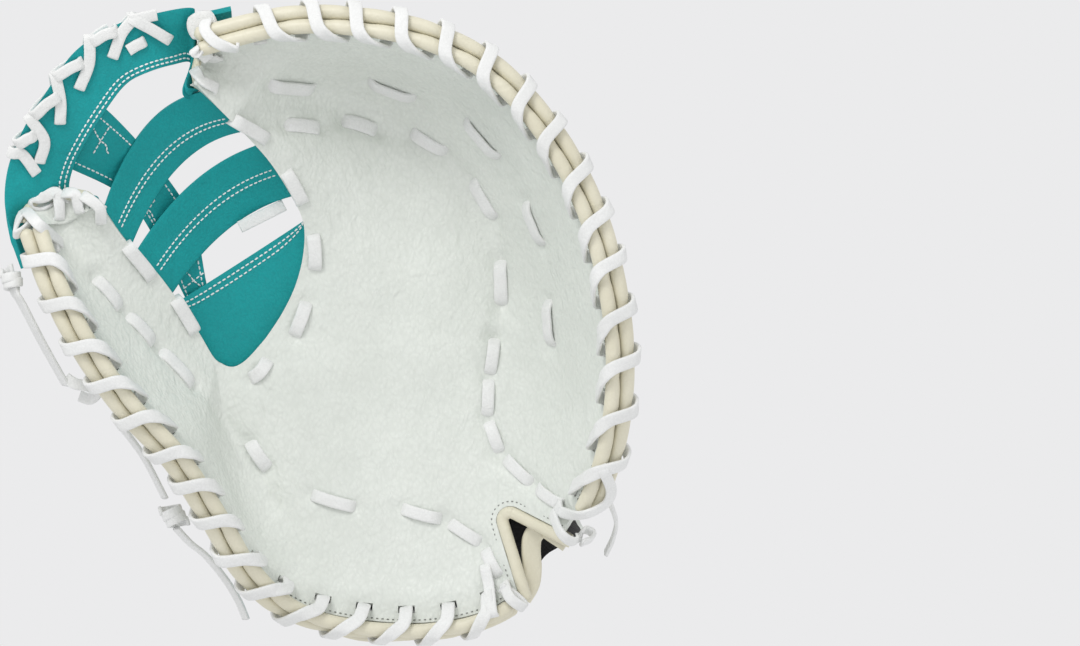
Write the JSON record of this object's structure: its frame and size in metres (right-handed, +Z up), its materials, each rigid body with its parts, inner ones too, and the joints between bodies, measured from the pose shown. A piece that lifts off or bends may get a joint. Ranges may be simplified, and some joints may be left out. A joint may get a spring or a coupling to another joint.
{
  "type": "first baseman mitt",
  "caption": "Left-hand first baseman mitt: deep laced pocket, bar web with top band, padded palm, open hand room and wrist strap, lying on its back.",
  "frame": {"origin": "on the flat resting face of the back leather, under the palm", "axes": "+X towards the little-finger side, +Y towards the fingertips, +Z up out of the pocket"},
  "size_m": [0.3061, 0.3142, 0.1353],
  "materials": {
    "white_leather": "soft white grained leather",
    "cream_leather": "smooth rolled cream binding leather",
    "lace_leather": "flat white rawhide lace",
    "teal_leather": "teal full-grain leather with white stitching",
    "taupe_patch": "matte taupe patch with a stitched border",
    "black_fastener": "black hook-and-loop pile"
  },
  "bodies": {
    "root": {"palm": "white_leather", "back": "white_leather", "palm_welt_thumb": "cream_leather", "palm_welt_fingers": "cream_leather", "back_welt_thumb": "cream_leather", "back_welt_fingers": "cream_leather", "edge_lace_thumb": "lace_leather", "edge_lace_fingers": "lace_leather", "notch_binding": "cream_leather", "wrist_band": "teal_leather", "window_binding": "cream_leather", "wrist_band_top_binding": "cream_leather", "wrist_band_bottom_binding": "cream_leather", "wrist_strap": "teal_leather", "strap_binding": "cream_leather", "fastener_patch": "black_fastener", "strap_patch": "taupe_patch", "side_patch": "taupe_patch", "web_bar_upper": "teal_leather", "web_bar_middle": "teal_leather", "web_panel": "teal_leather", "web_top_band": "teal_leather", "web_cross_strap": "teal_leather"}
  },
  "joints": []
}
